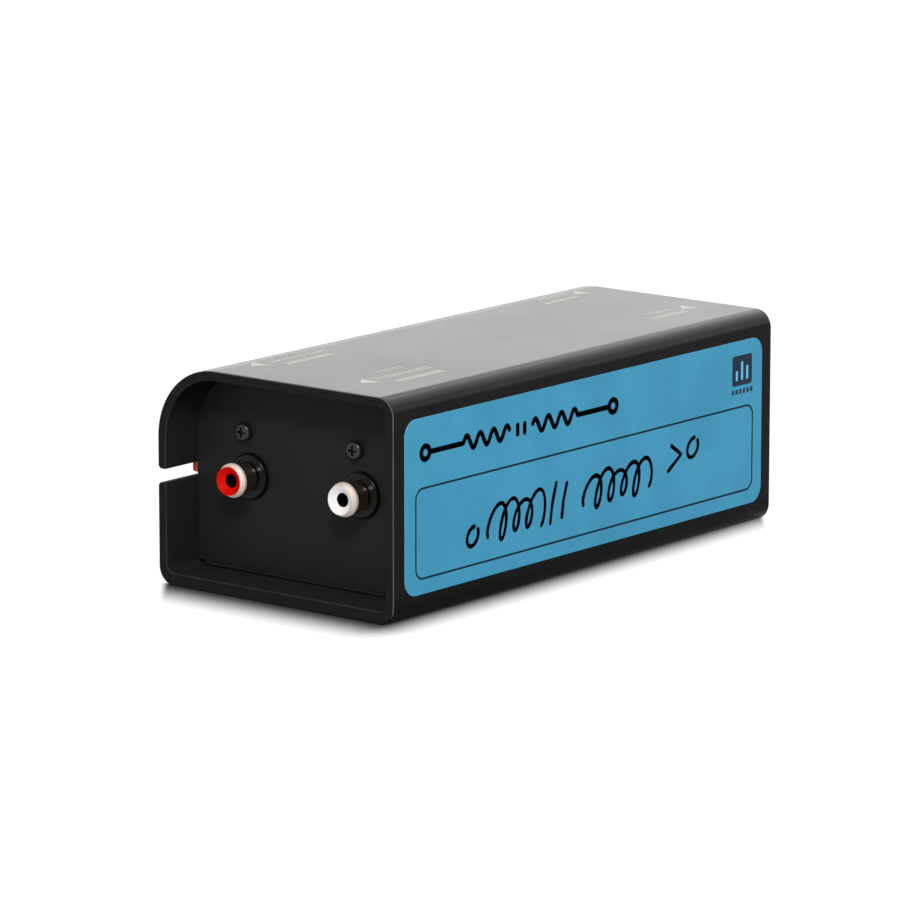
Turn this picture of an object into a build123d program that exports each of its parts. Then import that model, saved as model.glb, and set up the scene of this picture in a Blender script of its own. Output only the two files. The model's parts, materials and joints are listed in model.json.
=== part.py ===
# Ground loop isolator: a passive box that passes two audio channels through transformers.
# X runs along the case, from the output end at -X to the input end at +X. Z is up.
# The label is on the -Y side, and the seam of the case is on the +Y side.
# The origin is the middle of the underside. All sizes are in millimetres.

import os

from build123d import *

# Case: one extruded aluminium profile, open along a seam
case_length = 150.0
case_width = 73.4
case_height = 54.3
case_wall = 2.5
case_floor = 3.1
corner_radius = 4.5
seam_corner_radius = 18.0
seam_gap = 3.3
seam_drop = 0.4  # below the middle of the case's height
lip_outer_round = 1.0
lip_inner_round = 0.5
rim_round = 0.3
past = 1.0  # how far a cutter runs past the face that it cuts

# Label on the side
label_thickness = 0.15
label_end_inset = 4.1
label_top_inset = 5.9
label_bottom_inset = 6.1
label_corner = 4.0

# Chassis: one steel sheet, folded up at both ends
sheet = 1.0
panel_recess = 11.2
slide_gap = 0.3
fold_radius = 0.3
base_side_gap = 0.2
fold_relief = 0.2
panel_low_corner = 0.5

# Seal that closes the seam between the end panels
seal_slack = 0.65
seal_set_back = 0.3
seal_head_height = 8.0
seal_head_depth = 1.4
seal_round = 0.6
seal_end_gap = 0.1

# Phono sockets, two at each end
socket_inset = 16.8  # from the inside of the case's wall to the middle of the socket's block
socket_rise = 0.15  # above the middle of the case's height
socket_drop = 8.0
axis_shift = 0.55
block_width = 13.4
block_depth = 9.0
block_over_screw = 3.4
collar_diameter = 11.2
collar_proud = 1.3
collar_round = 0.6
collar_groove_width = 0.7
collar_groove_depth = 0.4
panel_hole_gap = 0.1

barrel_diameter = 7.4
barrel_wall = 0.4
barrel_reach = 8.05
barrel_grip = 5.5
flare_diameter = 8.3
flare_wall = 0.62
flare_land = 2.0
flare_taper = 0.8
flare_slope_length = 1.0
flare_slope_depth = 0.53

insert_proud = 0.45
insert_dish_depth = 1.3
insert_rim = 0.15
centre_hole = 3.4
centre_hole_depth = 4.0

contact_sheet = 0.4
contact_grip = 0.1  # how far each leaf stands into the line of the centre hole
tail_thickness = 0.5
tail_width = 1.4
tail_spacing = 1.6
tail_below_board = 2.6
tail_hole = 1.8
running_gap = 0.05

# Screws that hold the sockets to the panels
socket_screw_rise = 10.7
socket_screw_side = 1.6
socket_screw = 2.5
socket_screw_length = 7.0
pilot_below_screw = 0.5
socket_screw_head = 4.6
socket_screw_head_height = 1.8
head_round = 0.9
cross_width = 0.7
cross_length = 2.5
cross_depth = 1.0
screw_hole_gap = 0.2

# Circuit board and the pillars under it
board_thickness = 1.6
board_side_gap = 4.0
board_end_gap = 0.6
board_corner = 1.5
pillar_spacing = 80.0
pillar_inset = 4.0
pillar_flats = 6.0
pillar_boss = 4.6
pillar_thread = 3.0
board_screw_length = 6.0
board_screw_head = 5.6
board_screw_head_height = 2.0
case_screw_length = 8.0
case_screw_head = 5.5
case_screw_head_height = 1.6
case_screw_sink = 0.1

# Transformers, one for each channel
lamination_leg = 5.0
stack_depth = 11.0
bobbin_wall = 0.8
bobbin_gap = 0.15
bobbin_flange = 0.9
flange_margin = 0.4
flange_end_margin = 0.25
rail_width = 2.6
winding_corner = 0.6
winding_gap = 0.1
tape_thickness = 0.2
clamp_sheet = 0.5
clamp_width = 9.0
clamp_tab_width = 3.0
clamp_tab_below = 2.0
clamp_slot_gap = 0.2
pin_size = 0.6
pin_pitch = 5.0
pin_count = 4
pin_grip = 2.5
pin_below_board = 2.4
pin_hole = 1.1

# Places worked out from the sizes above
inner_width = case_width - 2 * case_wall
inner_height = case_height - case_wall - case_floor
inner_corner = max(corner_radius - case_wall, 0.2)
inner_seam_corner = max(seam_corner_radius - case_wall, 0.2)
floor_top = case_floor
ceiling = case_height - case_wall
seam_middle = case_height / 2 - seam_drop
seal_neck = seam_gap - seal_slack
panel_face = case_length / 2 - panel_recess
panel_back = panel_face - sheet
panel_width = inner_width - 2 * slide_gap
panel_top = ceiling - slide_gap
base_top = floor_top + sheet
socket_height = case_height / 2 + socket_rise
channel_y = inner_width / 2 - socket_inset
board_top = socket_height - socket_drop
board_bottom = board_top - board_thickness
board_length = 2 * (panel_back - board_end_gap)
board_width = inner_width - 2 * board_side_gap
ends = {"output": -1, "input": 1}
channels = {"red": channel_y, "white": -channel_y}
pillar_y = board_width / 2 - pillar_inset
pillar_places = [(x * pillar_spacing / 2, y * pillar_y) for x in (-1, 1) for y in (-1, 1)]

# Places in a socket's own frame: outwards is +X, and the panel's face is at X = 0
block_back = -sheet - block_depth
barrel_back = -sheet - barrel_grip
pocket_front = barrel_back + tail_thickness
barrel_bore = barrel_diameter - 2 * barrel_wall
leaf_inside = centre_hole / 2 - contact_grip
leaf_outside = leaf_inside + contact_sheet
contact_front = barrel_reach + insert_proud - insert_dish_depth - centre_hole_depth
contact_tail_x = barrel_back - tail_spacing
tail_end = -socket_drop - board_thickness - tail_below_board
screw_y = -socket_screw_side

# Transformer places, from the board and from the faces of the middle leg
core_length = 6 * lamination_leg
core_height = 5 * lamination_leg
window_height = 3 * lamination_leg
leg_width = 2 * lamination_leg
flange_reach = lamination_leg - bobbin_gap
winding_start = bobbin_gap + bobbin_wall + winding_gap
winding_build = (flange_reach - flange_margin - tape_thickness - winding_start) / 2
bobbin_overhang = winding_start + 2 * winding_build + tape_thickness + flange_end_margin


def save(part, name):
    """Write one piece, or one group of like pieces, to its own file."""
    part.label = name
    export_step(part, os.path.join("parts", name + ".step"))


def along_x(sketch, length):
    """Extrude a section in the YZ plane, half of the length each way."""
    return extrude(Plane.YZ * sketch, amount=length / 2, both=True)


def box_between(low, high):
    """A box from its lowest to its highest corner."""
    size = [b - a for a, b in zip(low, high)]
    middle = [(a + b) / 2 for a, b in zip(low, high)]
    return Pos(*middle) * Box(*size)


def rod_x(diameter, x_from, x_to):
    """A round rod along X on the local axis."""
    turned = Rot(0, 90, 0) * Cylinder(diameter / 2, abs(x_to - x_from))
    return Pos((x_from + x_to) / 2, 0, 0) * turned


def turned_x(points):
    """A solid turned about the X axis from (x, radius) points."""
    outline = make_face(Polyline(*[(x, r) for x, r in points], close=True))
    return revolve(outline, Axis.X)


def rounded_section(width, height, bottom, low, top, seam):
    """A YZ section with its own radii for the two lower, the label side's and the seam side's corners."""
    face = Pos(0, bottom + height / 2) * Rectangle(width, height)
    face = fillet(face.vertices().group_by(Axis.Y)[0], low)
    label_corner_point = face.vertices().sort_by_distance((-width / 2, bottom + height))[0]
    face = fillet(label_corner_point, top)
    seam_corner_point = face.vertices().sort_by_distance((width / 2, bottom + height))[0]
    return fillet(seam_corner_point, seam)


def place_socket(piece, end, middle_y):
    """Put a piece of a socket at its place in an end panel."""
    side = ends[end]
    turn = 0 if side > 0 else 180
    return Pos(side * panel_face, middle_y + side * axis_shift, socket_height) * Rot(0, 0, turn) * piece


def socket_places():
    """Every socket as its end, its colour and the middle of its block."""
    return [(end, colour, y) for end in ends for colour, y in channels.items()]


def cross_recess(top):
    """The cutter for a cross recess in a head whose top is at the given height."""
    half_length = cross_length / 2
    half_width = cross_width / 2
    one = box_between((-half_length, -half_width, top - cross_depth), (half_length, half_width, top + past))
    return one + Rot(0, 0, 90) * one


def pan_screw(thread, length, head, head_height):
    """A pan head screw along Z, with the underside of its head at Z = 0."""
    dome = Pos(0, 0, head_height / 2) * Cylinder(head / 2, head_height)
    dome = fillet(dome.edges().group_by(Axis.Z)[-1], min(head_round, 0.9 * head_height))
    shank = Pos(0, 0, -length / 2) * Cylinder(thread / 2 - running_gap, length)
    return dome + shank - cross_recess(head_height)


# Case
def make_case():
    outer = rounded_section(case_width, case_height, 0, corner_radius, corner_radius, seam_corner_radius)
    inner = rounded_section(
        inner_width, inner_height, floor_top, inner_corner, inner_corner, inner_seam_corner
    )
    seam = Pos(case_width / 2, seam_middle) * Rectangle(2 * (case_wall + past), seam_gap)
    section = outer - inner - seam
    for x, radius in ((case_width / 2, lip_outer_round), (inner_width / 2, lip_inner_round)):
        for side in (-1, 1):
            corner = (x, seam_middle + side * seam_gap / 2)
            section = fillet(section.vertices().sort_by_distance(corner)[0], radius)
    case = along_x(section, case_length)
    rims = case.edges().group_by(Axis.X)
    case = fillet(rims[0] + rims[-1], rim_round)
    for x, y in pillar_places:
        case -= Pos(x, y) * case_screw_cutter()
    return case


def case_screw_cutter():
    """The countersunk hole for a case screw, from the underside up."""
    wide = case_screw_head / 2 + screw_hole_gap / 2
    narrow = pillar_thread / 2 + screw_hole_gap / 2
    depth = case_screw_head_height
    mouth = Pos(0, 0, (case_screw_sink - past) / 2) * Cylinder(wide, case_screw_sink + past)
    cone = Pos(0, 0, case_screw_sink + depth / 2) * Cone(wide, narrow, depth)
    hole = Pos(0, 0, case_floor / 2) * Cylinder(narrow, case_floor + 2 * past)
    return mouth + cone + hole


# Label
def make_label():
    length = case_length - 2 * label_end_inset
    height = case_height - label_top_inset - label_bottom_inset
    middle = label_bottom_inset + height / 2
    outline = Plane.XZ * Pos(0, middle) * RectangleRounded(length, height, label_corner)
    return Pos(0, -case_width / 2, 0) * extrude(outline, amount=label_thickness)


# Chassis
def make_chassis():
    height = panel_top - floor_top
    outer = Pos(0, floor_top + height / 2) * Rectangle(2 * panel_face, height)
    outer = fillet(outer.vertices().group_by(Axis.Y)[0], fold_radius + sheet)
    inner_size = height - sheet + past
    inner = Pos(0, base_top + inner_size / 2) * Rectangle(2 * panel_back, inner_size)
    inner = fillet(inner.vertices().group_by(Axis.Y)[0], fold_radius)
    folded = extrude(Plane.XZ * (outer - inner), amount=panel_width / 2, both=True)
    folded = folded & chassis_outline()
    for end, colour, y in socket_places():
        socket_hole = rod_x(collar_diameter + 2 * panel_hole_gap, -sheet - past, past)
        screw_hole = rod_x(socket_screw + 2 * screw_hole_gap, -sheet - past, past)
        folded -= place_socket(socket_hole, end, y)
        folded -= place_socket(Pos(0, screw_y, socket_screw_rise) * screw_hole, end, y)
    for x, y in pillar_places:
        folded -= Pos(x, y, base_top) * Cylinder(pillar_boss / 2, 2 * (sheet + past))
    return folded


def chassis_outline():
    """What the chassis may fill inside the case, with the base narrower than the panels."""
    relief_height = fold_radius + sheet + fold_relief
    relief = floor_top + relief_height
    low_corner = max(panel_low_corner, inner_corner - relief_height)
    narrow_width = inner_width - 2 * inner_corner - 2 * base_side_gap
    large = max(inner_seam_corner - slide_gap, 0.2)
    panel = rounded_section(
        panel_width, panel_top - relief, relief, low_corner, inner_corner, large
    )
    base_height = relief + past - floor_top
    base = Pos(0, floor_top + base_height / 2) * Rectangle(narrow_width, base_height)
    return along_x(panel + base, 2 * (panel_face + past))


# Seam seal
def make_seal():
    wall_inside = case_width / 2 - case_wall
    neck_top = seam_middle + seam_gap / 2
    neck_depth = case_wall - seal_set_back
    neck = Pos(wall_inside + neck_depth / 2, neck_top - seal_neck / 2) * Rectangle(neck_depth, seal_neck)
    neck = fillet(neck.vertices().group_by(Axis.X)[-1], min(seal_round, 0.45 * seal_neck))
    head = Rectangle(seal_head_depth, seal_head_height)
    head = Pos(wall_inside - seal_head_depth / 2, seam_middle) * head
    return along_x(neck + head, 2 * (panel_back - seal_end_gap))


# Phono socket pieces, in the socket's own frame
def make_housing():
    top = socket_screw_rise + block_over_screw
    half = block_width / 2
    middle = screw_y / 2
    block = box_between((block_back, middle - half, -socket_drop), (-sheet, middle + half, top))
    collar = rod_x(collar_diameter, -sheet - past, collar_proud)
    collar = fillet(collar.edges().group_by(Axis.X)[-1], collar_round)
    housing = block + collar
    groove_diameter = barrel_diameter + 2 * collar_groove_width
    housing -= rod_x(groove_diameter, collar_proud - collar_groove_depth, collar_proud + past)
    housing -= rod_x(barrel_diameter + 2 * running_gap, pocket_front - past, collar_proud + past)
    pocket_half = barrel_diameter / 2 + 2 * running_gap
    housing -= box_between(
        (block_back - past, -pocket_half, -socket_drop - past),
        (pocket_front, pocket_half, pocket_half),
    )
    pilot = rod_x(socket_screw, -socket_screw_length - pilot_below_screw, 0)
    return housing - Pos(0, screw_y, socket_screw_rise) * pilot


def make_barrel():
    r = barrel_diameter / 2
    big = flare_diameter / 2
    land_back = barrel_reach - flare_land
    taper_back = land_back - flare_taper
    slope_depth = min(flare_slope_depth, 0.9 * flare_wall)
    outer = turned_x([
        (barrel_back, 0), (barrel_back, r), (taper_back, r),
        (land_back, big), (barrel_reach - flare_slope_length, big),
        (barrel_reach, big - slope_depth), (barrel_reach, 0),
    ])
    inner = turned_x([
        (barrel_back - past, 0), (barrel_back - past, r - barrel_wall), (taper_back, r - barrel_wall),
        (land_back, big - flare_wall), (barrel_reach + past, big - flare_wall), (barrel_reach + past, 0),
    ])
    tail = box_between(
        (barrel_back, -tail_width / 2, tail_end),
        (barrel_back + tail_thickness, tail_width / 2, barrel_wall - r),
    )
    return outer - inner + tail


def make_insert():
    r = barrel_bore / 2 - running_gap
    front = barrel_reach + insert_proud
    land_back = barrel_reach - flare_land
    taper_back = land_back - flare_taper
    wide = flare_diameter / 2 - flare_wall - running_gap
    body = turned_x([
        (barrel_back, 0), (barrel_back, r), (taper_back, r), (land_back, wide), (front, wide), (front, 0),
    ])
    hole = centre_hole / 2
    dish_back = front - insert_dish_depth
    rim = wide - insert_rim
    dish = turned_x([
        (front + past, 0), (front + past, rim), (front, rim), (dish_back, hole), (dish_back, 0),
    ])
    bore = rod_x(centre_hole, contact_front - past, front)
    seat_y = leaf_outside + running_gap
    seat_z = centre_hole / 2 + running_gap
    seat = box_between((barrel_back - past, -seat_y, -seat_z), (contact_front, seat_y, seat_z))
    return body - dish - bore - seat


def make_contact():
    """A folded strip with two leaves, which take the plug's centre pin between them."""
    half_width = centre_hole / 2
    back = barrel_back + contact_sheet
    front = contact_front - running_gap
    contact = box_between((barrel_back, -leaf_outside, -half_width), (back, leaf_outside, half_width))
    for inside, outside in ((-leaf_outside, -leaf_inside), (leaf_inside, leaf_outside)):
        contact += box_between((barrel_back, inside, -half_width), (front, outside, half_width))
    half_stem = tail_thickness / 2
    half_tail = tail_width / 2
    tail_front = contact_tail_x + tail_thickness
    stem = box_between((contact_tail_x, -half_tail, -half_stem), (back, half_tail, half_stem))
    tail = box_between((contact_tail_x, -half_tail, tail_end), (tail_front, half_tail, half_stem))
    return contact + stem + tail


def make_socket_screw():
    screw = pan_screw(socket_screw, socket_screw_length, socket_screw_head, socket_screw_head_height)
    return Pos(0, screw_y, socket_screw_rise) * Rot(0, 90, 0) * screw


# Board, pillars and their screws
def make_board():
    outline = RectangleRounded(board_length, board_width, board_corner)
    board = Pos(0, 0, board_bottom) * extrude(outline, amount=board_thickness)
    depth = 2 * (board_thickness + past)
    for end, colour, y in socket_places():
        for x in (barrel_back, contact_tail_x):
            tail = Pos(x + tail_thickness / 2, 0, -socket_drop) * Cylinder(tail_hole / 2, depth)
            board -= place_socket(tail, end, y)
    for x, y in pillar_places:
        board -= Pos(x, y, board_top) * Cylinder((pillar_thread + screw_hole_gap) / 2, depth)
    for middle in channels.values():
        for x, y in pin_places():
            board -= Pos(x, middle + y, board_top) * Cylinder(pin_hole / 2, depth)
        for x in clamp_tab_places():
            slot = Box(clamp_sheet + clamp_slot_gap, clamp_tab_width + clamp_slot_gap, depth)
            board -= Pos(x, middle, board_top) * slot
    return board


def make_pillar():
    """A threaded pillar pressed into the chassis, with its underside flush with the sheet."""
    height = board_bottom - base_top
    body = extrude(RegularPolygon(pillar_flats / 2, 6, major_radius=False), amount=height)
    boss = Pos(0, 0, -sheet / 2) * Cylinder(pillar_boss / 2, sheet)
    thread = Cylinder(pillar_thread / 2, 2 * (height + past))
    return Pos(0, 0, base_top) * (body + boss - thread)


def make_board_screw():
    screw = pan_screw(pillar_thread, board_screw_length, board_screw_head, board_screw_head_height)
    return Pos(0, 0, board_top) * screw


def make_case_screw():
    """A countersunk screw, driven from below, with its head just inside the case's wall."""
    depth = case_screw_head_height
    thread = pillar_thread / 2 - running_gap
    head = Pos(0, 0, depth / 2) * Cone(case_screw_head / 2, thread, depth)
    shank = Pos(0, 0, case_screw_length / 2) * Cylinder(thread, case_screw_length)
    recess = Rot(180, 0, 0) * cross_recess(0)
    return Pos(0, 0, case_screw_sink) * (head + shank - recess)


# Transformer pieces, standing on the board at the middle of a channel
def pin_places():
    """The places of a transformer's pins, from its middle."""
    rail = stack_depth / 2 + bobbin_overhang - rail_width / 2
    first = -pin_pitch * (pin_count - 1) / 2
    return [(first + n * pin_pitch, side * rail) for side in (-1, 1) for n in range(pin_count)]


def clamp_tab_places():
    return [side * (core_length / 2 + clamp_sheet / 2) for side in (-1, 1)]


def make_core():
    face = Pos(0, core_height / 2) * Rectangle(core_length, core_height)
    window_x = (leg_width + lamination_leg) / 2
    for side in (-1, 1):
        face -= Pos(side * window_x, core_height / 2) * Rectangle(lamination_leg, window_height)
    return extrude(Plane.XZ * face, amount=stack_depth / 2, both=True)


def ring(inner_x, inner_y, build, corner, height):
    """An upright ring round the middle leg, from its hole's size and its thickness."""
    outer = RectangleRounded(inner_x + 2 * build, inner_y + 2 * build, corner + build)
    hole = RectangleRounded(inner_x, inner_y, corner)
    return Pos(0, 0, core_height / 2) * extrude(outer - hole, amount=height / 2, both=True)


def bobbin_sizes():
    inner_x = leg_width + 2 * bobbin_gap
    inner_y = stack_depth + 2 * bobbin_gap
    return inner_x, inner_y, inner_x + 2 * bobbin_wall, inner_y + 2 * bobbin_wall


def winding_height():
    return window_height - 2 * bobbin_gap - 2 * bobbin_flange - 2 * winding_gap


def make_bobbin():
    inner_x, inner_y, outer_x, outer_y = bobbin_sizes()
    height = window_height - 2 * bobbin_gap
    flange_x = leg_width + 2 * flange_reach
    flange_y = stack_depth + 2 * bobbin_overhang
    tube = RectangleRounded(outer_x, outer_y, winding_corner)
    bobbin = Pos(0, 0, core_height / 2) * extrude(tube, amount=height / 2, both=True)
    for side in (-1, 1):
        z = core_height / 2 + side * (height - bobbin_flange) / 2
        bobbin += Pos(0, 0, z) * Box(flange_x, flange_y, bobbin_flange)
    rail_top = (core_height - height) / 2 + bobbin_flange
    rail_x = pin_pitch * (pin_count - 1) + 2 * rail_width
    for side in (-1, 1):
        y = side * (flange_y / 2 - rail_width / 2)
        bobbin += Pos(0, y, rail_top / 2) * Box(rail_x, rail_width, rail_top)
    bobbin -= Pos(0, 0, core_height / 2) * Box(inner_x, inner_y, 2 * core_height)
    return bobbin - make_pins()


def make_winding(layer):
    """The inner winding is layer 0 and the outer one is layer 1."""
    start_x, start_y = bobbin_sizes()[2:]
    offset = 2 * layer * winding_build + 2 * winding_gap
    corner = winding_corner + layer * winding_build
    return ring(start_x + offset, start_y + offset, winding_build, corner, winding_height())


def make_tape():
    start_x, start_y = bobbin_sizes()[2:]
    offset = 4 * winding_build + 2 * winding_gap
    corner = winding_corner + 2 * winding_build
    return ring(start_x + offset, start_y + offset, tape_thickness, corner, winding_height())


def make_clamp():
    length = core_length + 2 * clamp_sheet
    height = core_height + clamp_sheet
    strap = Pos(0, height / 2) * Rectangle(length, height)
    strap -= Pos(0, (core_height - past) / 2) * Rectangle(core_length, core_height + past)
    clamp = extrude(Plane.XZ * strap, amount=clamp_width / 2, both=True)
    for x in clamp_tab_places():
        low = -board_thickness - clamp_tab_below
        clamp += Pos(x, 0, low / 2) * Box(clamp_sheet, clamp_tab_width, -low)
    return clamp


def make_pins():
    length = pin_grip + board_thickness + pin_below_board
    pin = Pos(0, 0, pin_grip - length / 2) * Box(pin_size, pin_size, length)
    return Compound([Pos(x, y, 0) * pin for x, y in pin_places()])


def write_all():
    os.makedirs("parts", exist_ok=True)
    save(make_case(), "case_sleeve")
    save(make_label(), "side_label")
    save(make_chassis(), "chassis")
    save(make_seal(), "seam_seal")

    pieces = {
        "housing": make_housing(),
        "barrel": make_barrel(),
        "insert": make_insert(),
        "contact": make_contact(),
    }
    for end, colour, y in socket_places():
        for kind, piece in pieces.items():
            save(place_socket(piece, end, y), f"{end}_{colour}_{kind}")
    screw = make_socket_screw()
    save(Compound([place_socket(screw, end, y) for end, colour, y in socket_places()]), "socket_screws")

    save(make_board(), "circuit_board")
    for name, piece in (
        ("board_pillars", make_pillar()),
        ("board_screws", make_board_screw()),
        ("case_screws", make_case_screw()),
    ):
        save(Compound([Pos(x, y, 0) * piece for x, y in pillar_places]), name)

    transformer = {
        "core": make_core(),
        "bobbin": make_bobbin(),
        "primary_winding": make_winding(0),
        "secondary_winding": make_winding(1),
        "winding_tape": make_tape(),
        "core_clamp": make_clamp(),
        "transformer_pins": make_pins(),
    }
    for colour, y in channels.items():
        for kind, piece in transformer.items():
            save(Pos(0, y, board_top) * piece, f"{colour}_{kind}")


write_all()
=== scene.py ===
# Ground loop isolator: finishes, print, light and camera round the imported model.
import json
import math

import bmesh
import bpy
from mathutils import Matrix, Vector


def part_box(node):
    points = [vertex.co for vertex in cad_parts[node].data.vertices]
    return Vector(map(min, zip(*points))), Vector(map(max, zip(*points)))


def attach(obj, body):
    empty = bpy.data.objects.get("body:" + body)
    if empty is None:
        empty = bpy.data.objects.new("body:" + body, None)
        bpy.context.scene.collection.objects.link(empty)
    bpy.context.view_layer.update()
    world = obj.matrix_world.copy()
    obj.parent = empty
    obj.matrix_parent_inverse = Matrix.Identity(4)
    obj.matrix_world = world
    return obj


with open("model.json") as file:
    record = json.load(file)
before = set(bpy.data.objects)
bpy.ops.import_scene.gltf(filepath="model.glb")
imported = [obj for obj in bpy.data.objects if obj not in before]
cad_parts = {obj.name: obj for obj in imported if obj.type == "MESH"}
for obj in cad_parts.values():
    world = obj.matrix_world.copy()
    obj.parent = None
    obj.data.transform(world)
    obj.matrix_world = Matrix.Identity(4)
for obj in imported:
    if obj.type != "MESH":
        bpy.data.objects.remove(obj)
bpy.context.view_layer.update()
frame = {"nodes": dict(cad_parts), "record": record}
mm = 0.001  # one millimetre in scene units
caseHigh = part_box("case_sleeve")[1]
topLevel = caseHigh.z
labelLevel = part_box("side_label")[0].y  # the label's front face


# Node graphs. A Wire is one socket, and plain arithmetic on it adds Math nodes.
class Wire:
    def __init__(self, graph, socket):
        self.graph = graph
        self.socket = socket

    def __add__(self, other):
        return self.graph.maths("ADD", self, other)

    def __sub__(self, other):
        return self.graph.maths("SUBTRACT", self, other)

    def __rsub__(self, other):
        return self.graph.maths("SUBTRACT", other, self)

    def __mul__(self, other):
        return self.graph.maths("MULTIPLY", self, other)

    def __truediv__(self, other):
        return self.graph.maths("DIVIDE", self, other)

    def __pow__(self, other):
        return self.graph.maths("POWER", self, other)

    __radd__ = __add__
    __rmul__ = __mul__


class Graph:
    def __init__(self, tree):
        self.tree = tree
        tree.nodes.clear()

    def add(self, kind, settings=None, values=None, output=0):
        node = self.tree.nodes.new(kind)
        for key, value in (settings or {}).items():
            setattr(node, key, value)
        for key, value in (values or {}).items():
            if isinstance(value, Wire):
                self.tree.links.new(value.socket, node.inputs[key])
            else:
                node.inputs[key].default_value = value
        return Wire(self, node.outputs[output]) if node.outputs else None

    def maths(self, operation, *values):
        return self.add("ShaderNodeMath", {"operation": operation}, dict(enumerate(values)))

    def clamped(self, value):
        return self.add("ShaderNodeMath", {"operation": "ADD", "use_clamp": True}, {0: value, 1: 0.0})

    def step(self, value, start, end):  # 0 at the start, 1 at the end, smooth between, either way round
        return self.add("ShaderNodeMapRange", {"interpolation_type": "SMOOTHSTEP"},
                        {"Value": value, "From Min": start, "From Max": end})

    def mix(self, factor, first, second):  # two colours
        return self.add("ShaderNodeMix", {"data_type": "RGBA"}, {0: factor, 6: first, 7: second}, 2)

    def place(self):
        return self.add("ShaderNodeTexCoord", output="Object")

    def parts(self, vector):  # the three numbers of a vector
        return [self.add("ShaderNodeSeparateXYZ", {}, {0: vector}, axis) for axis in "XYZ"]

    def outward(self):  # the three numbers of the surface's normal
        return self.parts(self.add("ShaderNodeNewGeometry", output="Normal"))

    def along(self, axis):  # one coordinate of the object, in metres
        return self.add("ShaderNodeSeparateXYZ", {}, {0: self.place()}, axis)

    def noise(self, size, detail=2.0, stretch=(1, 1, 1)):  # size of one feature in metres
        place = self.add("ShaderNodeMapping", {}, {"Vector": self.place(), "Scale": stretch})
        return self.add("ShaderNodeTexNoise", {}, {"Vector": place, "Scale": 1 / size, "Detail": detail})

    def ripple(self, axis, pitch):  # from 0 to 1 and back in each pitch
        return self.maths("ABSOLUTE", self.maths("SINE", self.along(axis) * (math.pi / pitch)))

    def around(self, middle, noise, spread):  # strays to both sides of its middle with the noise
        return (noise - 0.5) * spread + middle

    def bump(self, height, depth):  # height from 0 to 1, depth in metres
        return self.add("ShaderNodeBump", {}, {"Distance": depth, "Height": height})

    def principled(self, values):
        return self.add("ShaderNodeBsdfPrincipled", {}, values)

    def finish(self, shader):
        self.add("ShaderNodeOutputMaterial", {}, {"Surface": shader})

    def close(self, values):
        self.finish(self.principled(values))


def screenColour(red, green, blue):  # a colour as a screen shows it, 0 to 255
    def linear(part):
        part = part / 255
        return part / 12.92 if part <= 0.04045 else ((part + 0.055) / 1.055) ** 2.4

    return (linear(red), linear(green), linear(blue), 1.0)


def evenTint(share):  # a Specular Tint that keeps this share of the reflection seen face on
    return (share, share, share, 1)


def newMaterial(name):
    material = bpy.data.materials.new(name)
    material.use_nodes = True
    return material, Graph(material.node_tree)


def newObject(name, data):
    thing = bpy.data.objects.new(name, data)
    bpy.context.scene.collection.objects.link(thing)
    return thing


def awayFrom(azimuth, elevation):  # the direction from the object to a viewer
    turn, rise = math.radians(azimuth), math.radians(elevation)
    flat = math.cos(rise)
    return Vector((math.sin(turn) * flat, -math.cos(turn) * flat, math.sin(rise)))


def standOff(thing, aim, away, distance):  # a camera or lamp, turned back to what it aims at
    thing.location = aim + away * distance
    thing.rotation_mode = "QUATERNION"
    thing.rotation_quaternion = away.to_track_quat("Z", "Y")


# Camera
cameraSetup = {
    "azimuth": -51.066,
    "elevation": 11.66,
    "distance": 1.4154,
    "aim": (0.58 * mm, 7.38 * mm, 24.55 * mm),
    "lens": 228.37,
    "sensor": 36.0,
    "clipStart": 0.05,
    "clipEnd": 50.0,
}


def placeCamera(setup):
    data = bpy.data.cameras.new("camera")
    data.sensor_width = setup["sensor"]
    data.lens = setup["lens"]
    data.clip_start = setup["clipStart"]
    data.clip_end = setup["clipEnd"]
    camera = newObject("camera", data)
    standOff(camera, Vector(setup["aim"]), awayFrom(setup["azimuth"], setup["elevation"]), setup["distance"])
    bpy.context.scene.camera = camera


placeCamera(cameraSetup)
print("camera placed")


# Studio: a pale floor with a painted contact shadow, white surroundings and soft lamps
studio = {
    "surroundings": 0.42,
    "floorSize": 12.0,
    "floorColour": 0.8,
    "floorGlow": 0.94,  # share of the floor's look that comes from its own light
    "floorStrength": 1.06,
    "footprint": {"near": -74.5 * mm, "label": -32.3 * mm, "seam": 34 * mm, "far": 80 * mm},
    "shadowNear": 18.5 * mm,  # how far the contact shadow reaches from the near end
    "shadowLabel": 14 * mm,
    "shadowBehind": 14 * mm,  # at the seam side and the far end, where it starts narrow
    "shadowNarrow": 3 * mm,
    "shadowSpread": 0.6,
    "shadowSlant": 0.81,  # it leans away from the seam side as it reaches out from the near end
    "labelRise": 3 * mm,  # the shadow on the label's side starts this much nearer at the far end
    "lamps": [  # name, azimuth, elevation, distance, width, height, watts
        ("key", -56, 38, 1.2, 0.26, 0.24, 9.0),
        ("overhead", -20, 74, 0.9, 0.7, 0.5, 2.4),
        ("farSide", 88, 38, 1.3, 1.2, 0.5, 10.2),
        ("sideGlow", 54, 20, 1.3, 0.5, 0.3, 3.2),
        ("back", 130, 15, 1.3, 1.0, 0.5, 3.65),
    ],
}


def seenDirectly(graph):  # 1 for what the camera, a reflection or a clear piece shows
    path = "ShaderNodeLightPath"
    seen = graph.add(path, output="Is Camera Ray") + graph.add(path, output="Is Glossy Ray")
    return graph.clamped(seen + graph.add(path, output="Is Transmission Ray"))


def makeSurroundings(setup):
    world = bpy.data.worlds.new("surroundings")
    bpy.context.scene.world = world
    world.use_nodes = True
    graph = Graph(world.node_tree)
    strength = seenDirectly(graph) * (1 - setup["surroundings"]) + setup["surroundings"]
    glow = graph.add("ShaderNodeBackground", {}, {"Color": (1, 1, 1, 1), "Strength": strength})
    graph.add("ShaderNodeOutputWorld", {}, {"Surface": glow})


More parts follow.
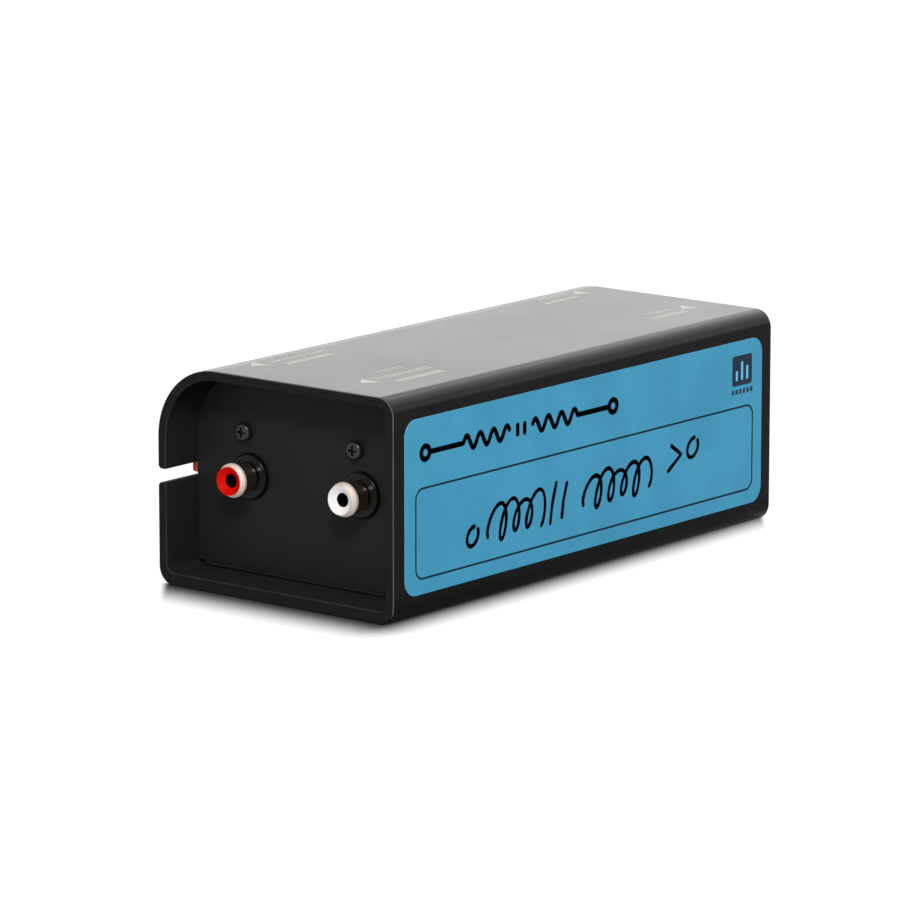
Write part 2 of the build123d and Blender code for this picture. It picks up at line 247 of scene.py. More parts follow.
def clearOfPaintedShadow(graph, setup):  # painted shadow: from 0 under the case to 1 where its painted contact shadow ends, worked out from the footprint
    x, y = graph.parts(graph.place())[:2]
    sides = setup["footprint"]
    fromNear = x - sides["near"]
    fromLabel = y - sides["label"]

    def past(distance, reach):
        return (graph.maths("MAXIMUM", distance, 0.0) / reach) ** 2

    def widening(distance):  # the reach behind the case, from narrow to wide along it
        reach = graph.maths("MAXIMUM", distance * setup["shadowSpread"], setup["shadowNarrow"])
        return graph.maths("MINIMUM", reach, setup["shadowBehind"])

    alongCase = graph.clamped(fromNear / (sides["far"] - sides["near"]))
    labelEdge = alongCase ** 2 * setup["labelRise"] + sides["label"]
    beforeNear = graph.maths("MAXIMUM", sides["near"] - x, 0.0)
    besideLabel = graph.maths("MAXIMUM", labelEdge - y, 0.0)
    seamSide = y - sides["seam"] + beforeNear * setup["shadowSlant"]
    farSide = x - sides["far"] + besideLabel / setup["shadowSlant"]
    squares = past(beforeNear, setup["shadowNear"]) + past(besideLabel, setup["shadowLabel"])
    squares = squares + past(seamSide, widening(fromNear)) + past(farSide, widening(fromLabel))
    return graph.step(graph.maths("SQRT", squares), 0.0, 1.0)


def makeFloor(setup):
    half = setup["floorSize"] / 2
    mesh = bpy.data.meshes.new("floor")
    corners = [(-half, -half, 0), (half, -half, 0), (half, half, 0), (-half, half, 0)]
    mesh.from_pydata(corners, [], [(0, 1, 2, 3)])
    material, graph = newMaterial("floorPaper")
    grey = setup["floorColour"]
    paper = graph.add("ShaderNodeBsdfDiffuse", {}, {"Color": (grey, grey, grey, 1)})
    # painted shadow: the floor's glow is dimmed round the case's footprint
    strength = clearOfPaintedShadow(graph, setup) * setup["floorStrength"]
    glow = graph.add("ShaderNodeEmission", {}, {"Strength": strength})
    share = seenDirectly(graph) * setup["floorGlow"]
    graph.finish(graph.add("ShaderNodeMixShader", {}, {0: share, 1: paper, 2: glow}))
    mesh.materials.append(material)
    newObject("floor", mesh)


def makeLamp(name, azimuth, elevation, distance, width, height, watts):
    data = bpy.data.lights.new(name, "AREA")
    data.shape = "RECTANGLE"
    data.size = width
    data.size_y = height
    data.energy = watts
    lamp = newObject(name, data)
    standOff(lamp, Vector((0, 0, 0)), awayFrom(azimuth, elevation), distance)
    lamp.visible_camera = False


bpy.context.scene.view_settings.view_transform = "Standard"
makeSurroundings(studio)
makeFloor(studio)
for lampSetup in studio["lamps"]:
    makeLamp(*lampSetup)
print("studio lit")


# Finishes. Gloss is a refractive index, and facing the share of the plain reflection seen face on.
coat = {
    "dark": screenColour(16, 16, 17),
    "light": screenColour(21, 21, 22),
    "lowShade": screenColour(5, 5, 5),  # painted shade: the lowest part of the outside is darkened
    "lowShadeTop": 9 * mm,
    "lowShadeFull": 2.5 * mm,
    # painted light: the inside is coloured lighter than the outside to lift it out of the recess's shade
    "inside": screenColour(31, 31, 31),
    "insideLight": screenColour(35, 35, 35),
    # painted shade on the inside faces that look down
    "ceiling": screenColour(17, 17, 17),
    "face": screenColour(29, 29, 29),  # the ends of the walls
    # painted highlights: a lighter colour on the rounded rim edges that face up or to the label's side
    "innerEdgeHighlight": screenColour(50, 50, 51),
    "outerEdgeHighlight": screenColour(86, 86, 87),
    "edgeStart": caseHigh.x - 0.35 * mm,
    "edgeFull": caseHigh.x - 0.33 * mm,
    "middle": caseHigh.z / 2,
    "facing": 0.1,
    "gloss": 1.14,
    "roughness": 0.30,
    "mattGloss": 1.04,
    "mattRoughness": 0.55,
    "patchSize": 22 * mm,
    "grainSize": 0.28 * mm,
    "grainDepth": 0.006 * mm,
}


def caseCoat(name, setup):  # satin outside, and matt inside and at the ends of the walls, with painted light: a lighter inside, painted shade on the ceiling and low on the outside, and painted highlights on the rim edges
    material, graph = newMaterial(name)
    grain = graph.noise(setup["grainSize"], 3.0)
    patches = graph.noise(setup["patchSize"])
    blend = patches * 0.7 + grain * 0.3
    x, y, z = graph.parts(graph.place())
    across, sideways, upwards = graph.outward()
    fromMiddle = y * sideways + (z - setup["middle"]) * upwards  # negative where a wall faces inwards
    inside = graph.step(fromMiddle, -0.2 * mm, -0.9 * mm)
    square = across ** 2
    endFace = graph.step(square, 0.9, 0.97)
    rounded = graph.step(square * (1 - square) * 4, 0.2, 0.8)  # between a wall and its end face
    lit = graph.step(upwards - sideways, 0.1, 0.5)  # facing up or to the label's side, where the painted edge highlight goes
    atEnd = graph.step(graph.maths("ABSOLUTE", x), setup["edgeStart"], setup["edgeFull"])
    # painted highlight along the rounded rim edges at the case's ends
    edgeHighlight = rounded * lit * atEnd
    bump = graph.bump(grain, setup["grainDepth"])
    outer = graph.mix(blend, setup["dark"], setup["light"])
    # painted shade: the outside darkens towards the bottom
    outer = graph.mix(graph.step(z, setup["lowShadeTop"], setup["lowShadeFull"]), outer, setup["lowShade"])
    satin = graph.principled({
        "Base Color": graph.mix(edgeHighlight, outer, setup["outerEdgeHighlight"]),
        "IOR": setup["gloss"],
        "Roughness": graph.around(graph.around(setup["roughness"], patches, 0.05), grain, 0.10),
        "Normal": bump,
        "Specular Tint": evenTint(setup["facing"]),
    })
    # painted light: the lighter inside colours
    inner = graph.mix(blend, setup["inside"], setup["insideLight"])
    # painted shade: inside faces that look down are darkened
    inner = graph.mix(graph.step(upwards, -0.2, -0.8), inner, setup["ceiling"])
    inner = graph.mix(endFace, inner, setup["face"])
    matt = graph.principled({
        "Base Color": graph.mix(edgeHighlight, inner, setup["innerEdgeHighlight"]),
        "IOR": setup["mattGloss"],
        "Roughness": graph.around(setup["mattRoughness"], grain, 0.10),
        "Normal": bump,
    })
    share = graph.maths("MAXIMUM", inside, endFace)
    graph.finish(graph.add("ShaderNodeMixShader", {}, {0: share, 1: satin, 2: matt}))
    return material


panel = {
    "dark": screenColour(29, 29, 29),
    "light": screenColour(33, 33, 33),
    "bendPaintedLight": screenColour(60, 60, 60),  # painted light: the fold is coloured lighter to offset the shade it lies in
    "gloss": 1.12,
    "roughness": 0.45,
    "patchSize": 16 * mm,
    "grainSize": 0.28 * mm,
    "grainDepth": 0.008 * mm,
}


def panelCoat(name, setup):
    material, graph = newMaterial(name)
    grain = graph.noise(setup["grainSize"], 3.0)
    blend = graph.noise(setup["patchSize"]) * 0.7 + grain * 0.3
    bendPaintedLight = graph.step(graph.outward()[2], -0.15, -0.5)  # the fold faces down and outwards, where the painted light goes
    graph.close({
        "Base Color": graph.mix(bendPaintedLight, graph.mix(blend, setup["dark"], setup["light"]), setup["bendPaintedLight"]),
        "IOR": setup["gloss"],
        "Roughness": graph.around(setup["roughness"], grain, 0.12),
        "Normal": graph.bump(grain, setup["grainDepth"]),
    })
    return material


film = {
    "blue": screenColour(56, 133, 165),
    "deep": screenColour(52, 127, 159),
    # painted highlight along the film's cut edges
    "cutEdgeHighlight": screenColour(112, 190, 224),
    "gloss": 1.22,
    "facing": 0.35,
    "roughness": 0.42,
    "cloudSize": 14 * mm,
    "grainSize": 0.5 * mm,
    "grainDepth": 0.002 * mm,
}


def labelFilm(name, setup):
    material, graph = newMaterial(name)
    clouds = graph.step(graph.noise(setup["cloudSize"], 4.0), 0.35, 0.65)
    grain = graph.noise(setup["grainSize"])
    # painted highlight on the film's thin edges, which face sideways
    cutEdgeHighlight = graph.step(graph.maths("ABSOLUTE", graph.outward()[1]), 0.9, 0.3)
    graph.close({
        "Base Color": graph.mix(cutEdgeHighlight, graph.mix(clouds, setup["blue"], setup["deep"]), setup["cutEdgeHighlight"]),
        "IOR": setup["gloss"],
        "Roughness": graph.around(setup["roughness"], grain, 0.06),
        "Normal": graph.bump(grain, setup["grainDepth"]),
        "Specular Tint": evenTint(setup["facing"]),
    })
    return material


ink = {
    "kinds": {  # fresh colour, worn colour, roughness, gloss
        "black": (screenColour(1, 1, 4), screenColour(8, 14, 20), 0.6, 1.04),
        "line": (screenColour(16, 36, 48), screenColour(28, 56, 72), 0.5, 1.12),
        "slate": (screenColour(30, 45, 58), screenColour(40, 61, 77), 0.5, 1.12),
        "blue": (screenColour(96, 170, 205), screenColour(80, 150, 190), 0.5, 1.12),
        "pale": (screenColour(172, 169, 161), screenColour(140, 138, 133), 0.6, 1.12),
    },
    "wear": 0.5,  # how far a speck goes towards the worn colour
    "facing": 0.4,
    "speckSize": 0.25 * mm,
    "patchSize": 6 * mm,
}


def inkFilm(name, kind, setup):
    material, graph = newMaterial(name)
    fresh, worn, roughness, gloss = setup["kinds"][kind]
    specks = graph.step(graph.noise(setup["speckSize"], 4.0), 0.66, 0.74)
    graph.close({
        "Base Color": graph.mix(specks * setup["wear"], fresh, worn),
        "IOR": gloss,
        "Roughness": graph.around(roughness, graph.noise(setup["patchSize"]), 0.1),
        "Specular Tint": evenTint(setup["facing"]),
    })
    return material


rubber = {
    "dark": screenColour(150, 50, 16),
    "light": screenColour(176, 68, 26),
    "facing": 0.3,
    "roughness": 0.58,
    "lineSize": 0.3 * mm,
    "drawnOut": (0.02, 1, 1),  # the lines run along the strip
    "grainSize": 0.18 * mm,
    "depth": 0.02 * mm,
}


def sealRubber(name, setup):
    material, graph = newMaterial(name)
    grain = graph.noise(setup["grainSize"], 3.0)
    lines = graph.noise(setup["lineSize"], stretch=setup["drawnOut"])
    graph.close({
        "Base Color": graph.mix(lines, setup["dark"], setup["light"]),
        "Specular Tint": evenTint(setup["facing"]),
        "Roughness": graph.around(setup["roughness"], grain, 0.12),
        "Normal": graph.bump(lines * 0.6 + grain * 0.4, setup["depth"]),
    })
    return material


plastic = {
    "kinds": {  # dark, light, roughness, facing
        "socket": (screenColour(6, 6, 6), screenColour(11, 10, 9), 0.22, 0.4),
        "bobbin": (screenColour(26, 26, 28), screenColour(36, 36, 38), 0.5, 0.6),
    },
    "gloss": 1.4,
    "flowSize": 3.5 * mm,
    "grainSize": 0.12 * mm,
    "grainDepth": 0.002 * mm,
}


def mouldedPlastic(name, kind, setup):
    material, graph = newMaterial(name)
    dark, light, roughness, facing = setup["kinds"][kind]
    grain = graph.noise(setup["grainSize"])
    graph.close({
        "Base Color": graph.mix(graph.noise(setup["flowSize"]), dark, light),
        "IOR": setup["gloss"],
        "Roughness": graph.around(roughness, grain, 0.08),
        "Normal": graph.bump(grain, setup["grainDepth"]),
        "Specular Tint": evenTint(facing),
    })
    return material


insert = {
    "colours": {  # dark and light, for each slot
        "insert_red": (screenColour(200, 10, 2), screenColour(185, 9, 2)),
        "insert_white": (screenColour(226, 223, 221), screenColour(216, 213, 211)),
    },
    # painted shade: the centre hole is coloured near black
    "holeShade": screenColour(7, 6, 6),
    "holeRadius": 1.72 * mm,
    "gloss": 1.12,
    "roughness": 0.36,
    "flowSize": 2.5 * mm,
    "grainSize": 0.12 * mm,
    "grainDepth": 0.002 * mm,
}


def insertPlastic(node, colours, setup):  # coloured, with painted shade inside its centre hole
    material, graph = newMaterial(node)
    low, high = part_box(node)
    y, z = graph.parts(graph.place())[1:]
    fromAxis = ((y - (low.y + high.y) / 2) ** 2 + (z - (low.z + high.z) / 2) ** 2) ** 0.5
    hole = graph.step(fromAxis, setup["holeRadius"] + 0.03 * mm, setup["holeRadius"])
    body = graph.mix(graph.noise(setup["flowSize"]), *colours)
    grain = graph.noise(setup["grainSize"])
    graph.close({
        "Base Color": graph.mix(hole, body, setup["holeShade"]),
        "IOR": setup["gloss"],
        "Roughness": graph.around(setup["roughness"], grain, 0.08),
        "Normal": graph.bump(grain, setup["grainDepth"]),
    })
    return material


plating = {
    "kinds": {  # bright, dull, roughness
        "tin": (screenColour(206, 202, 194), screenColour(186, 180, 170), 0.28),
        "zinc": (screenColour(200, 202, 204), screenColour(184, 182, 168), 0.34),
    },
    "patchSize": 2.5 * mm,
    "lineSize": 0.1 * mm,
    "drawnOut": (1, 1, 0.04),  # the lines run upwards
    "lineDepth": 0.0015 * mm,
}


def platedMetal(name, kind, setup):
    material, graph = newMaterial(name)
    bright, dull, roughness = setup["kinds"][kind]
    lines = graph.noise(setup["lineSize"], stretch=setup["drawnOut"])
    patches = graph.noise(setup["patchSize"], 3.0)
    graph.close({
        "Base Color": graph.mix(patches, bright, dull),
        "Metallic": 1.0,
        "Roughness": graph.around(graph.around(roughness, patches, 0.05), lines, 0.08),
        "Normal": graph.bump(lines, setup["lineDepth"]),
    })
    return material


barrel = {  # polished, with a satin lip at the mouth
    "bright": screenColour(226, 208, 194),
    "dull": screenColour(205, 184, 168),
    "roughness": 0.15,
    "lip": screenColour(240, 219, 206),
    "lipStart": abs(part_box("output_red_barrel")[0].x) - 1.8 * mm,
    "lipMetal": 0.25,
    "lipRoughness": 0.4,
    "patchSize": 2.5 * mm,
    "lineSize": 0.2 * mm,
    "drawnOut": (0.1, 1, 1),  # the lines run along the barrel
    "lineDepth": 0.0015 * mm,
}


def socketNickel(name, setup):
    material, graph = newMaterial(name)
    fromMiddle = graph.maths("ABSOLUTE", graph.along("X"))
    lip = graph.step(fromMiddle, setup["lipStart"], setup["lipStart"] + 0.2 * mm)
    lines = graph.noise(setup["lineSize"], stretch=setup["drawnOut"])
    patches = graph.noise(setup["patchSize"], 3.0)
    roughness = lip * (setup["lipRoughness"] - setup["roughness"]) + setup["roughness"]
    graph.close({
        "Base Color": graph.mix(lip, graph.mix(patches, setup["bright"], setup["dull"]), setup["lip"]),
        "Metallic": 1 - lip * (1 - setup["lipMetal"]),
        "Roughness": graph.around(graph.around(roughness, patches, 0.05), lines, 0.08),
        "Normal": graph.bump(lines, setup["lineDepth"]),
    })
    return material


oxide = {
    "dark": screenColour(38, 38, 40),
    "light": screenColour(56, 56, 58),
    "metal": 0.7,
    "roughness": 0.28,
    "grainSize": 0.10 * mm,
    "grainDepth": 0.004 * mm,
}


def blackOxide(name, setup):
    material, graph = newMaterial(name)
    grain = graph.noise(setup["grainSize"], 3.0)
    graph.close({
        "Base Color": graph.mix(grain, setup["dark"], setup["light"]),
        "Metallic": setup["metal"],
        "Roughness": graph.around(setup["roughness"], grain, 0.2),
        "Normal": graph.bump(grain, setup["grainDepth"]),
    })
    return material


board = {
    "bare": screenColour(16, 92, 52),
    "track": screenColour(34, 128, 74),
    "trackPitch": 2.54 * mm,
    "roughness": 0.34,
    "weaveSize": 0.3 * mm,
    "depth": 0.03 * mm,
}


def circuitBoard(name, setup):
    material, graph = newMaterial(name)
    weave = graph.noise(setup["weaveSize"], 1.0)
    tracks = graph.step(graph.ripple("Y", setup["trackPitch"]), 0.80, 0.90)
    graph.close({
        "Base Color": graph.mix(tracks, setup["bare"], setup["track"]),
        "Roughness": graph.around(setup["roughness"], weave, 0.1),
        "Normal": graph.bump(tracks * 0.8 + weave * 0.2, setup["depth"]),
    })
    return material


core = {
    "steel": screenColour(70, 70, 74),
    "varnish": screenColour(104, 98, 92),
    "metal": 0.8,
    "roughness": 0.5,
    "plate": 0.5 * mm,  # thickness of one plate of the stack
    "patchSize": 4 * mm,
    "depth": 0.03 * mm,
}


def laminations(name, setup):
    material, graph = newMaterial(name)
    patches = graph.noise(setup["patchSize"], 3.0)
    graph.close({
        "Base Color": graph.mix(patches, setup["steel"], setup["varnish"]),
        "Metallic": setup["metal"],
        "Roughness": graph.around(setup["roughness"], patches, 0.2),
        "Normal": graph.bump(graph.step(graph.ripple("Y", setup["plate"]), 0.0, 0.35), setup["depth"]),
    })
    return material


winding = {
    "dark": screenColour(120, 48, 20),
    "bright": screenColour(206, 110, 58),
    "metal": 0.85,
    "roughness": 0.3,
    "turn": 0.22 * mm,
    "patchSize": 3 * mm,
    "depth": 0.08 * mm,
}


def woundWire(name, setup):
    material, graph = newMaterial(name)
    turns = graph.ripple("Z", setup["turn"])
    patches = graph.noise(setup["patchSize"])
    graph.close({
        "Base Color": graph.mix(turns * 0.6 + patches * 0.4, setup["dark"], setup["bright"]),
        "Metallic": setup["metal"],
        "Roughness": graph.around(setup["roughness"], patches, 0.12),
        "Normal": graph.bump(turns, setup["depth"]),
    })
    return material


tape = {
    "dark": screenColour(222, 180, 50),
    "light": screenColour(240, 204, 84),
    "roughness": 0.32,
    "lapSize": 5 * mm,
    "drawnOut": (1, 1, 0.3),
    "depth": 0.03 * mm,
}


def coreTape(name, setup):
    material, graph = newMaterial(name)
    laps = graph.noise(setup["lapSize"], stretch=setup["drawnOut"])
    graph.close({
        "Base Color": graph.mix(laps, setup["dark"], setup["light"]),
        "Roughness": graph.around(setup["roughness"], laps, 0.15),
        "Normal": graph.bump(laps, setup["depth"]),
    })
    return material


finishes = {  # by the record's slots
    "case_coat": caseCoat("caseCoat", coat),
    "panel_coat": panelCoat("panelCoat", panel),
    "label_film": labelFilm("labelFilm", film),
    "seal_rubber": sealRubber("sealRubber", rubber),
    "socket_black": mouldedPlastic("socketBlack", "socket", plastic),
    "nickel": socketNickel("nickel", barrel),
    "contact_tin": platedMetal("contactTin", "tin", plating),
    "screw_black": blackOxide("screwBlack", oxide),
    "board_green": circuitBoard("boardGreen", board),
    "zinc_steel": platedMetal("zincSteel", "zinc", plating),
    "core_steel": laminations("coreSteel", core),
    "bobbin_plastic": mouldedPlastic("bobbinPlastic", "bobbin", plastic),
    "copper_wire": woundWire("copperWire", winding),
    "tape": coreTape("coreTape", tape),
}
inks = {kind: inkFilm("ink" + kind.capitalize(), kind, ink) for kind in ink["kinds"]}
for part in frame["record"]["subparts"]:
    nodeName, slot = part["node"], part["material_slot"]
    if slot in insert["colours"]:
        nodeFinish = insertPlastic(nodeName, insert["colours"][slot], insert)
    else:
        nodeFinish = finishes[slot]
    for holder in frame["nodes"][nodeName].material_slots:
        holder.material = nodeFinish
print("finishes on", len(frame["nodes"]), "nodes")


# Print, as thin films of ink made by node trees
def newTree(name, inputs):
    tree = bpy.data.node_groups.new(name, "GeometryNodeTree")
    graph = Graph(tree)
    inputs = {"Geometry": "Geometry", **inputs}
    for label, kind in inputs.items():
        tree.interface.new_socket(label, in_out="INPUT", socket_type="NodeSocket" + kind)
    tree.interface.new_socket("Geometry", in_out="OUTPUT", socket_type="NodeSocketGeometry")
    return graph, {label: graph.add("NodeGroupInput", output=label) for label in inputs}


def endTree(graph, geometry, material):
    whole = graph.add("GeometryNodeRealizeInstances", {}, {0: geometry})
    inked = graph.add("GeometryNodeSetMaterial", {}, {"Geometry": whole, "Material": material})
    graph.add("NodeGroupOutput", {}, {0: inked})
    return graph.tree


def grow(tree, source, name, values):  # runs a tree on an object and keeps a plain mesh
    modifier = source.modifiers.new(name, "NODES")
    modifier.node_group = tree
    for item in tree.interface.items_tree:
        if item.in_out == "INPUT" and item.name in values:
            modifier[item.identifier] = values[item.name]
    depsgraph = bpy.context.evaluated_depsgraph_get()
    mesh = bpy.data.meshes.new_from_object(source.evaluated_get(depsgraph))
    mesh.name = name
    bpy.data.objects.remove(source)
    return newObject(name, mesh)


def pathObject(name, paths):  # one spline for each list of points
    curve = bpy.data.curves.new(name, "CURVE")
    curve.dimensions = "3D"
    for path in paths:
        spline = curve.splines.new("POLY")
        spline.points.add(len(path["points"]) - 1)
        for point, place in zip(spline.points, path["points"]):
            point.co = (*place, 1)
            point.radius = path.get("size", 1.0)
        spline.use_cyclic_u = path.get("closed", False)
    return newObject(name, curve)


stroke = {
    "ringsPerWidth": 7,
    "ringPoints": 10,
    "wobbleScale": 260.0,  # swellings of the line in a metre
}


def strokeTree(setup):  # a pen line: a flattened tube along each path, with round ends
    graph, given = newTree("penStroke", {
        "Width": "Float", "Thickness": "Float", "Unevenness": "Float", "Level": "Float", "Ink": "Material",
    })
    half = given["Width"] / 2
    values = {"Curve": given["Geometry"], "Length": given["Width"] / setup["ringsPerWidth"]}
    path = graph.add("GeometryNodeResampleCurve", {"mode": "LENGTH"}, values)
    done = graph.add("GeometryNodeSplineParameter", output="Length")
    whole = graph.add("GeometryNodeSplineLength", output="Length")
    fromEnd = graph.clamped(graph.maths("MINIMUM", done, whole - done) / half)
    rounding = graph.maths("SQRT", 1 - (1 - fromEnd) ** 2)
    rounding = graph.maths("MAXIMUM", rounding, graph.add("GeometryNodeInputSplineCyclic"))
    values = {"Vector": graph.add("GeometryNodeInputPosition"), "Scale": setup["wobbleScale"], "Detail": 1.0}
    wobble = graph.add("ShaderNodeTexNoise", {}, values)
    scale = rounding * graph.around(1, wobble, given["Unevenness"])
    values = {"Resolution": setup["ringPoints"], "Radius": half}
    ring = graph.add("GeometryNodeCurvePrimitiveCircle", {}, values)
    values = {"Curve": path, "Profile Curve": ring, "Scale": scale, "Fill Caps": True}
    tube = graph.add("GeometryNodeCurveToMesh", {}, values)
    x, y, z = graph.parts(graph.add("GeometryNodeInputPosition"))
    flat = (y - given["Level"]) * (given["Thickness"] / half) + given["Level"]
    values = {"Geometry": tube, "Position": graph.add("ShaderNodeCombineXYZ", {}, {0: x, 1: flat, 2: z})}
    pressed = graph.add("GeometryNodeSetPosition", {}, values)
    smooth = graph.add("GeometryNodeSetShadeSmooth", {}, {0: pressed})
    return endTree(graph, smooth, given["Ink"])


def blockTree():  # a row of small blocks along each path, which stands for a line of print
    graph, given = newTree("printRow", {
        "Pitch": "Float", "Narrow": "Float", "Wide": "Float", "Thickness": "Float", "Turn": "Vector",
        "Seed": "Int", "Ink": "Material",
    })
    values = {"Curve": given["Geometry"], "Length": given["Pitch"]}
    points = graph.add("GeometryNodeCurveToPoints", {"mode": "LENGTH"}, values)
    size = graph.add("ShaderNodeCombineXYZ", {}, {0: 1.0, 1: 1.0, 2: given["Thickness"] * 2})
    block = graph.add("GeometryNodeMeshCube", {}, {"Size": size})  # half of it stands out of the surface
    values = {2: given["Narrow"], 3: given["Wide"], "Seed": given["Seed"]}
    width = graph.add("FunctionNodeRandomValue", {"data_type": "FLOAT"}, values, 1) * given["Pitch"]
    height = graph.add("GeometryNodeInputRadius")
    scale = graph.add("ShaderNodeCombineXYZ", {}, {0: width, 1: height, 2: 1.0})
    values = {"Points": points, "Instance": block, "Rotation": given["Turn"], "Scale": scale}
    row = graph.add("GeometryNodeInstanceOnPoints", {}, values)
    return endTree(graph, row, given["Ink"])


penStroke = strokeTree(stroke)
printRow = blockTree()


def keep(piece):
    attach(piece, "root")


def drawStrokes(name, paths, values, kind):
    values = dict(values, Level=labelLevel, Ink=inks[kind])
    keep(grow(penStroke, pathObject(name, paths), name, values))


def printBlocks(name, paths, values, kind):
    keep(grow(printRow, pathObject(name, paths), name, dict(values, Ink=inks[kind])))


def inkPlates(name, outlines, lift, kind):  # thin plates of ink on flat outlines
    points, faces = [], []
    for outline in outlines:
        first, count = len(points), len(outline)
        points += outline + [tuple(Vector(point) + lift) for point in outline]
        faces += [tuple(range(first, first + count)), tuple(range(first + count, first + 2 * count))]
        for n in range(count):
            here, following = first + n, first + (n + 1) % count
            faces.append((following, here, here + count, following + count))
    mesh = bpy.data.meshes.new(name)
    mesh.from_pydata(points, [], faces)
    form = bmesh.new()
    form.from_mesh(mesh)
    bmesh.ops.recalc_face_normals(form, faces=form.faces)
    form.to_mesh(mesh)
    form.free()
    mesh.materials.append(inks[kind])
    keep(newObject(name, mesh))


# Outlines on the label, whose places and sizes are in millimetres
def onLabel(points):
    return [(x * mm, labelLevel, z * mm) for x, z in points]


def arc(middle, radius, start, end, steps):
    turns = [math.radians(start + (end - start) * n / steps) for n in range(steps + 1)]
    return [(middle[0] + radius * math.cos(t), middle[1] + radius * math.sin(t)) for t in turns]


def roundedOutline(setup, steps=8):
    radius = setup["corner"]
    left, right = setup["left"] + radius, setup["right"] - radius
    low, high = setup["low"] + radius, setup["high"] - radius
    points = []
    for x, z, start in ((right, high, 0), (left, high, 90), (left, low, 180), (right, low, 270)):
        points += arc((x, z), radius, start, start + 90, steps)
    return onLabel(points)


writeOnField = {
    "left": -66.9,
    "right": 67.0,
    "low": 9.85,
    "high": 31.5,
    "corner": 2.6,
    "pen": {"Width": 0.55 * mm, "Thickness": 0.012 * mm, "Unevenness": 0.1},
}


def makeFieldFrame(setup):
    path = {"points": roundedOutline(setup), "closed": True}
    drawStrokes("label_frame_line", [path], setup["pen"], "line")


diagram = {  # two windings with a core between them, drawn as a plain sign
    "middle": -27.1,
    "level": 39.9,
    "core": 1.35,
    "coreHalf": 1.75,
    "waveStart": 4.2,
    "halfWave": 2.55,
    "halfWaves": 7,
    "wavePoints": 12,  # in each half wave
    "swing": 1.6,
    "ringPlace": 36.2,
    "ringRadius": 1.55,
    "ringPoints": 32,
    "pen": {"Width": 1.4 * mm, "Thickness": 0.015 * mm, "Unevenness": 0.05},
}


def makeDiagram(setup):
    level, steps = setup["level"], setup["wavePoints"]
    paths = []
    for side in (-1, 1):
        wave = []
        for n in range(setup["halfWaves"] * steps + 1):
            x = setup["waveStart"] + setup["halfWave"] * n / steps
            wave.append((setup["middle"] + side * x, level + setup["swing"] * math.sin(math.pi * n / steps)))
        lead = setup["middle"] + side * (setup["ringPlace"] - setup["ringRadius"])
        paths.append({"points": onLabel(wave + [(lead, level)])})
        bar = setup["middle"] + side * setup["core"]
        ends = [(bar, level - setup["coreHalf"]), (bar, level + setup["coreHalf"])]
        paths.append({"points": onLabel(ends)})
        ringMiddle = (setup["middle"] + side * setup["ringPlace"], level)
        ring = arc(ringMiddle, setup["ringRadius"], 0, 360, setup["ringPoints"])[:-1]
        paths.append({"points": onLabel(ring), "closed": True})
    drawStrokes("label_diagram", paths, setup["pen"], "black")


sketch = {  # the same circuit as loose marks of a marker pen
    "coils": [(-38.6, 4, 5.0, 4.0), (-1.4, 5, 5.1, 3.8)],  # start, loops, pitch, height
    "loopPoints": 28,
    "loopBack": 0.42,  # how far a loop runs back, in pitches
    "swell": 0.2,  # how much loops differ in height
    "swellPace": 2.3,
    "rings": [(-45.2, 18.2, 2.3), (41.2, 23.0, 2.4)],  # x, z, radius
    "ringWidth": 0.9,  # of its height
    "ringStart": 70,
    "ringEnd": 415,  # nearly one turn, left open
    "ringPoints": 30,
    "bars": [(-14.6, 14.8, 25.4), (-10.2, 15.4, 24.6)],  # x, low, high
    "barMiddle": -0.3,  # how far a bar's middle and top stray sideways
    "barTop": 0.2,
    "arrow": [(31.4, 25.4), (36.6, 22.2), (31.6, 18.6)],
    "level": 20.0,
    "rise": 0.032,
    "slant": 0.22,
    "pen": {"Width": 1.15 * mm, "Thickness": 0.015 * mm, "Unevenness": 0.5},
}


def makeSketch(setup):
    def lean(x, z):  # marks slant to the right and climb a little, as a hand writes them
        return (x + setup["slant"] * (z - setup["level"]), z + setup["rise"] * x)

    lines = []
    for start, loops, pitch, height in setup["coils"]:
        coil = []
        for n in range(loops * setup["loopPoints"] + 1):
            t = n / setup["loopPoints"]
            swell = 1 + setup["swell"] * math.sin(setup["swellPace"] * t + start)
            x = start + pitch * t - setup["loopBack"] * pitch * math.sin(2 * math.pi * t)
            coil.append((x, setup["level"] - height * swell * math.cos(2 * math.pi * t)))
        lines.append(coil)
    for x, z, radius in setup["rings"]:
        turn = arc((x, z), radius, setup["ringStart"], setup["ringEnd"], setup["ringPoints"])
        lines.append([(x + setup["ringWidth"] * (a - x), b) for a, b in turn])
    for x, low, high in setup["bars"]:
        lines.append([(x, low), (x + setup["barMiddle"], (low + high) / 2), (x + setup["barTop"], high)])
    lines.append(setup["arrow"])
    paths = [{"points": onLabel([lean(x, z) for x, z in line])} for line in lines]
    drawStrokes("label_marker_sketch", paths, setup["pen"], "black")


cornerMark = {  # a small block with three bars, and a row of print under it
    "left": 58.3,
    "right": 66.6,
    "low": 37.0,
    "high": 44.7,
    "corner": 0.8,
    "thickness": 0.012 * mm,
    "bars": [(60.2, 38.2, 41.0), (62.4, 38.2, 43.2), (64.6, 38.2, 42.0)],  # x, low, high
    "pen": {"Width": 1.0 * mm, "Unevenness": 0.05},
    "rowEnds": [(58.6, 35.5), (66.4, 35.5)],
    "rowHeight": 1.2 * mm,
    "blocks": {"Pitch": 1.3 * mm, "Narrow": 0.55, "Wide": 0.8, "Turn": (math.pi / 2, 0, 0), "Seed": 5},
}


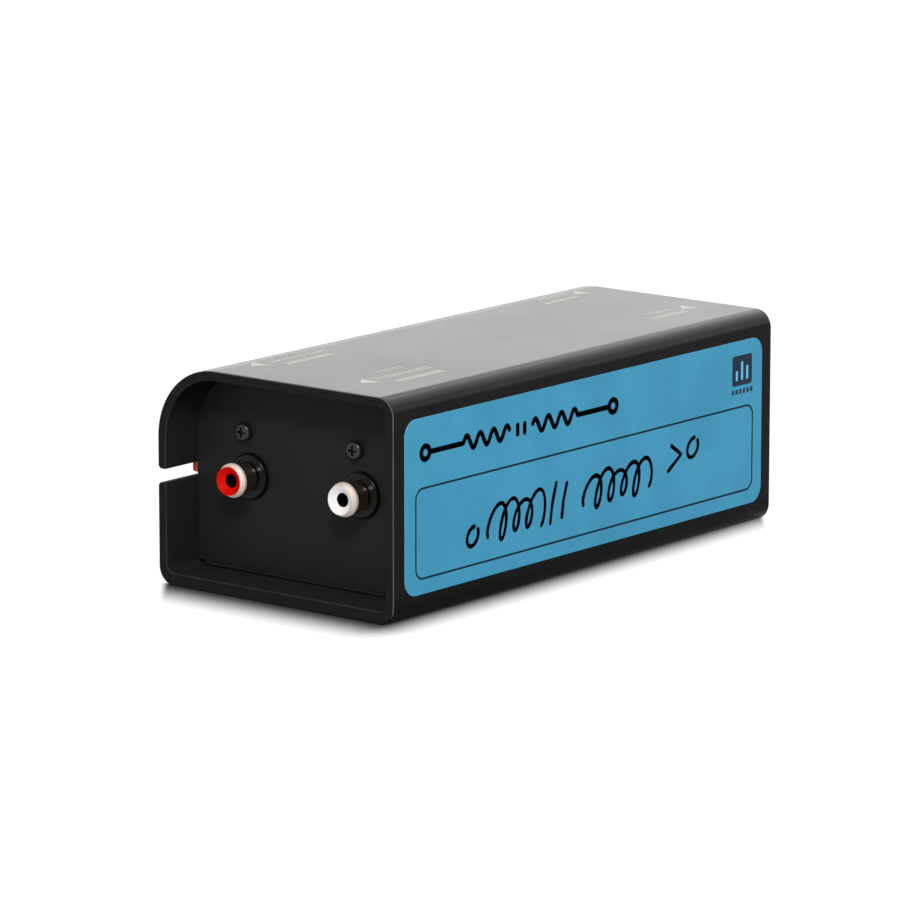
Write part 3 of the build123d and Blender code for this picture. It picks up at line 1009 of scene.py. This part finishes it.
def makeCornerMark(setup):
    thickness = setup["thickness"]
    lift = Vector((0, -thickness, 0))
    inkPlates("label_corner_block", [roundedOutline(setup)], lift, "slate")
    bars = [{"points": onLabel([(x, low), (x, high)])} for x, low, high in setup["bars"]]
    pen = dict(setup["pen"], Thickness=2 * thickness)  # the bars lie on the block
    drawStrokes("label_corner_columns", bars, pen, "blue")
    row = {"points": onLabel(setup["rowEnds"]), "size": setup["rowHeight"]}
    blocks = dict(setup["blocks"], Thickness=thickness)
    printBlocks("label_corner_row", [row], blocks, "slate")


topPrint = {
    "rows": {  # left, right, y and height of each line of print, in millimetres
        "bold": [
            (-56.0, -40.6, 11.5, 2.2), (-56.2, -40.6, -22.9, 2.4),
            (47.0, 59.2, 13.3, 2.1), (47.0, 59.6, -20.6, 2.2),
        ],
        "fine": [
            (-57.9, -38.3, 15.6, 2.2), (-53.2, -44.5, 19.2, 1.8), (-57.9, -38.8, -17.7, 2.6),
            (-51.2, -42.9, -12.2, 2.0), (49.0, 60.0, 17.9, 2.4), (50.0, 58.8, -16.0, 2.3),
        ],
    },
    "bold": {"Pitch": 1.6 * mm, "Narrow": 0.62, "Wide": 0.86, "Seed": 3},
    "fine": {"Pitch": 1.45 * mm, "Narrow": 0.34, "Wide": 0.62, "Seed": 8},
    "arrowTips": [(-64.4, 16.2), (-64.3, -18.0), (61.8, 16.0), (62.0, -18.0)],
    "arrowLength": 3.9,
    "arrowHalfWidth": 3.0,
    "thickness": 0.02 * mm,
}


def onTop(points):
    return [(x * mm, y * mm, topLevel) for x, y in points]


def makeTopPrint(setup):
    for kind, rows in setup["rows"].items():
        paths = []
        for left, right, y, height in rows:
            paths.append({"points": onTop([(left, y), (right, y)]), "size": height * mm})
        blocks = dict(setup[kind], Thickness=setup["thickness"])
        printBlocks("top_print_" + kind, paths, blocks, "pale")
    arrows = []
    for x, y in setup["arrowTips"]:
        base, half = x + setup["arrowLength"], setup["arrowHalfWidth"]
        arrows.append(onTop([(x, y), (base, y - half), (base, y + half)]))
    inkPlates("top_print_arrows", arrows, Vector((0, 0, setup["thickness"])), "pale")


makeFieldFrame(writeOnField)
makeDiagram(diagram)
makeSketch(sketch)
makeCornerMark(cornerMark)
makeTopPrint(topPrint)
print("print laid on the label and the top")
